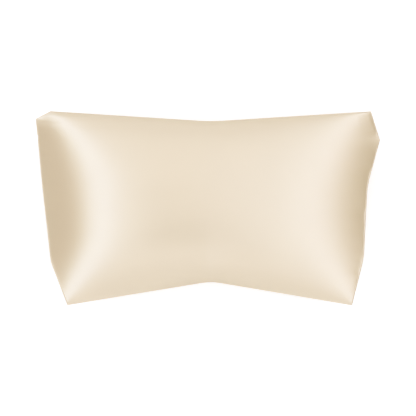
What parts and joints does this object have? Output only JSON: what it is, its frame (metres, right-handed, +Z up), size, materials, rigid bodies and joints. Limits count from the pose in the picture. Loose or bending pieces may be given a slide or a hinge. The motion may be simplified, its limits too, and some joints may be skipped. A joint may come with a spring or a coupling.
{
  "type": "pillowcase",
  "caption": "King-size satin pillowcase, filled out: a long soft bag seamed all round, crowned in the middle, with its long sides drawn in and its ends sloping down to flat corners.",
  "frame": {"origin": "on the surface that the case lies on, under the middle of its box", "axes": "+X along the case, to the right in the picture; +Y across it, up in the picture; +Z up from the surface, out of the upper face"},
  "size_m": [0.893, 0.503, 0.1865],
  "materials": {
    "satin": "satin"
  },
  "bodies": {
    "root": {"pillowcase": "satin"}
  },
  "joints": []
}
